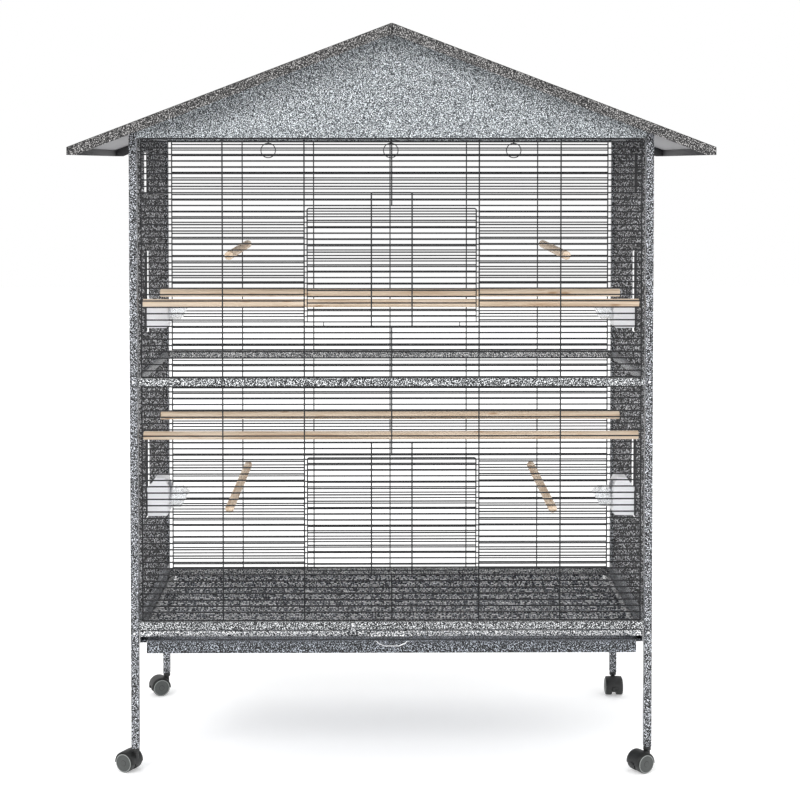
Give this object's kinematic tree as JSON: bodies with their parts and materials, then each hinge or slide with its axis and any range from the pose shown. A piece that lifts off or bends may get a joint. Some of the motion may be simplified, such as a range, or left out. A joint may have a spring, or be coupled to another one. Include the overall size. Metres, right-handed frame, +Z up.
{
  "type": "bird cage on stand",
  "caption": "House-shaped wire bird cage with a pitched sheet roof on four castored legs, drop-down front doors, side cups, perches, floor grate and slide-out tray.",
  "frame": {"origin": "centre of the footprint on the floor, under the middle of the roof", "axes": "+Z up, the doors and the tray face -Y, +X to the right seen from the front, the roof ridge runs along Y"},
  "size_m": [1.31, 0.67, 1.5414],
  "materials": {
    "hammered_paint": "hammered grey enamel, light and dark mottle, semi gloss",
    "roof_paint": "hammered grey enamel on sheet, slightly warmer",
    "wire_paint": "grey enamel on wire",
    "bright_wire": "zinc plated steel",
    "pine": "plain turned softwood, unvarnished, fine grain and small knots",
    "white_plastic": "smooth white moulding",
    "clear_plastic": "clear moulded guard",
    "castor_plastic": "black moulding, satin",
    "wheel_plastic": "dark grey moulding, satin",
    "screw_steel": "bright zinc plated screw heads"
  },
  "bodies": {
    "cage": {"front_left_post": "hammered_paint", "front_right_post": "hammered_paint", "back_left_post": "hammered_paint", "back_right_post": "hammered_paint", "front_mid_rail": "hammered_paint", "front_bottom_rail": "hammered_paint", "back_mid_rail": "hammered_paint", "back_bottom_rail": "hammered_paint", "front_gable_plate": "hammered_paint", "back_gable_plate": "hammered_paint", "left_roof_panel": "roof_paint", "right_roof_panel": "roof_paint", "front_upper_grille": "wire_paint", "front_lower_grille": "wire_paint", "back_upper_grille": "wire_paint", "back_lower_grille": "wire_paint", "left_upper_panel": "hammered_paint", "left_lower_panel": "hammered_paint", "right_upper_panel": "hammered_paint", "right_lower_panel": "hammered_paint", "left_tray_runner": "hammered_paint", "right_tray_runner": "hammered_paint", "front_upper_perch": "pine", "front_lower_perch": "pine", "back_upper_perch": "pine", "back_lower_perch": "pine", "left_upper_cross_perch": "pine", "left_lower_cross_perch": "pine", "right_upper_cross_perch": "pine", "right_lower_cross_perch": "pine", "toy_bar": "hammered_paint"},
    "upper_door": {"upper_door": "wire_paint"},
    "upper_door_latch": {"upper_door_latch": "wire_paint"},
    "lower_door": {"lower_door": "wire_paint"},
    "lower_door_latch": {"lower_door_latch": "wire_paint"},
    "left_upper_cup_door": {"left_upper_cup_door": "wire_paint"},
    "left_upper_cup": {"left_upper_cup": "white_plastic"},
    "left_lower_cup_door": {"left_lower_cup_door": "wire_paint"},
    "left_lower_cup": {"left_lower_cup": "white_plastic"},
    "right_upper_cup_door": {"right_upper_cup_door": "wire_paint"},
    "right_upper_cup": {"right_upper_cup": "white_plastic"},
    "right_lower_cup_door": {"right_lower_cup_door": "wire_paint"},
    "right_lower_cup": {"right_lower_cup": "white_plastic"},
    "left_nest_door": {"left_nest_door": "wire_paint"},
    "right_nest_door": {"right_nest_door": "wire_paint"},
    "left_hanging_ring": {"left_hanging_ring": "wire_paint"},
    "middle_hanging_ring": {"middle_hanging_ring": "wire_paint"},
    "right_hanging_ring": {"right_hanging_ring": "wire_paint"},
    "floor_grate": {"floor_grate": "wire_paint"},
    "tray": {"tray": "hammered_paint"},
    "tray_handle": {"tray_handle": "bright_wire"},
    "turn_latch": {"turn_latch": "bright_wire"},
    "front_left_castor": {"front_left_castor": "castor_plastic"},
    "front_left_wheels": {"front_left_wheels": "wheel_plastic"},
    "front_right_castor": {"front_right_castor": "castor_plastic"},
    "front_right_wheels": {"front_right_wheels": "wheel_plastic"},
    "back_left_castor": {"back_left_castor": "castor_plastic"},
    "back_left_wheels": {"back_left_wheels": "wheel_plastic"},
    "back_right_castor": {"back_right_castor": "castor_plastic"},
    "back_right_wheels": {"back_right_wheels": "wheel_plastic"}
  },
  "joints": [
    {"name": "upper_door_hinge", "type": "hinge", "parent": "cage", "child": "upper_door", "pos_m": [0, -0.271, 0.92368], "axis": [-1, 0, 0], "range_deg": [-150, 0]},
    {"name": "upper_door_latch_hinge", "type": "hinge", "parent": "upper_door", "child": "upper_door_latch", "pos_m": [0, -0.271, 0.92368], "axis": [1, 0, 0], "range_deg": [0, 8], "stiffness_Nm_per_rad": 1.5},
    {"name": "lower_door_hinge", "type": "hinge", "parent": "cage", "child": "lower_door", "pos_m": [0, -0.271, 0.40928], "axis": [-1, 0, 0], "range_deg": [-150, 0]},
    {"name": "lower_door_latch_hinge", "type": "hinge", "parent": "lower_door", "child": "lower_door_latch", "pos_m": [0, -0.271, 0.40928], "axis": [1, 0, 0], "range_deg": [0, 8], "stiffness_Nm_per_rad": 1.5},
    {"name": "left_upper_cup_door_hinge", "type": "hinge", "parent": "cage", "child": "left_upper_cup_door", "pos_m": [-0.53, -0.074, 1.072], "axis": [0, 1, 0], "range_deg": [0, 95]},
    {"name": "left_upper_cup_lift", "type": "slide", "parent": "cage", "child": "left_upper_cup", "axis": [0, 0, 1], "range_m": [0, 0.015]},
    {"name": "left_lower_cup_door_hinge", "type": "hinge", "parent": "cage", "child": "left_lower_cup_door", "pos_m": [-0.53, -0.074, 0.676], "axis": [0, 1, 0], "range_deg": [0, 95]},
    {"name": "left_lower_cup_lift", "type": "slide", "parent": "cage", "child": "left_lower_cup", "axis": [0, 0, 1], "range_m": [0, 0.015]},
    {"name": "right_upper_cup_door_hinge", "type": "hinge", "parent": "cage", "child": "right_upper_cup_door", "pos_m": [0.53, -0.074, 1.072], "axis": [0, -1, 0], "range_deg": [0, 95]},
    {"name": "right_upper_cup_lift", "type": "slide", "parent": "cage", "child": "right_upper_cup", "axis": [0, 0, 1], "range_m": [0, 0.015]},
    {"name": "right_lower_cup_door_hinge", "type": "hinge", "parent": "cage", "child": "right_lower_cup_door", "pos_m": [0.53, -0.074, 0.676], "axis": [0, -1, 0], "range_deg": [0, 95]},
    {"name": "right_lower_cup_lift", "type": "slide", "parent": "cage", "child": "right_lower_cup", "axis": [0, 0, 1], "range_m": [0, 0.015]},
    {"name": "left_nest_door_slide", "type": "slide", "parent": "cage", "child": "left_nest_door", "axis": [0, -1, 0], "range_m": [0, 0.066]},
    {"name": "right_nest_door_slide", "type": "slide", "parent": "cage", "child": "right_nest_door", "axis": [0, 1, 0], "range_m": [0, 0.066]},
    {"name": "left_ring_swing", "type": "hinge", "parent": "cage", "child": "left_hanging_ring", "pos_m": [-0.27, 0, 1.3007], "axis": [0, 1, 0], "range_deg": [-45, 45]},
    {"name": "middle_ring_swing", "type": "hinge", "parent": "cage", "child": "middle_hanging_ring", "pos_m": [0, 0, 1.3007], "axis": [0, 1, 0], "range_deg": [-45, 45]},
    {"name": "right_ring_swing", "type": "hinge", "parent": "cage", "child": "right_hanging_ring", "pos_m": [0.271, 0, 1.3007], "axis": [0, 1, 0], "range_deg": [-45, 45]},
    {"name": "floor_grate_slide", "type": "slide", "parent": "cage", "child": "floor_grate", "axis": [0, -1, 0], "range_m": [0, 0.45]},
    {"name": "tray_slide", "type": "slide", "parent": "cage", "child": "tray", "axis": [0, -1, 0], "range_m": [0, 0.45]},
    {"name": "tray_handle_hinge", "type": "hinge", "parent": "tray", "child": "tray_handle", "pos_m": [0, -0.2965, 0.2772], "axis": [-1, 0, 0], "range_deg": [0, 85]},
    {"name": "turn_latch_pivot", "type": "hinge", "parent": "cage", "child": "turn_latch", "pos_m": [-0.08, -0.2801, 0.3052], "axis": [0, 1, 0], "range_deg": [0, 90]},
    {"name": "front_left_swivel", "type": "hinge", "parent": "cage", "child": "front_left_castor", "pos_m": [-0.53, -0.271, 0.055], "axis": [0, 0, 1], "continuous": true},
    {"name": "front_left_wheel_spin", "type": "hinge", "parent": "front_left_castor", "child": "front_left_wheels", "pos_m": [-0.54501, -0.26303, 0.02], "axis": [-0.4691, -0.8832, 0], "continuous": true},
    {"name": "front_right_swivel", "type": "hinge", "parent": "cage", "child": "front_right_castor", "pos_m": [0.53, -0.271, 0.055], "axis": [0, 0, 1], "continuous": true},
    {"name": "front_right_wheel_spin", "type": "hinge", "parent": "front_right_castor", "child": "front_right_wheels", "pos_m": [0.51528, -0.2795, 0.02], "axis": [0.5, -0.866, 0], "continuous": true},
    {"name": "back_left_swivel", "type": "hinge", "parent": "cage", "child": "back_left_castor", "pos_m": [-0.53, 0.271, 0.055], "axis": [0, 0, 1], "continuous": true},
    {"name": "back_left_wheel_spin", "type": "hinge", "parent": "back_left_castor", "child": "back_left_wheels", "pos_m": [-0.54603, 0.26534, 0.02], "axis": [0.333, -0.9429, 0], "continuous": true},
    {"name": "back_right_swivel", "type": "hinge", "parent": "cage", "child": "back_right_castor", "pos_m": [0.53, 0.271, 0.055], "axis": [0, 0, 1], "continuous": true},
    {"name": "back_right_wheel_spin", "type": "hinge", "parent": "back_right_castor", "child": "back_right_wheels", "pos_m": [0.53, 0.254, 0.02], "axis": [1, 0, 0], "continuous": true}
  ]
}
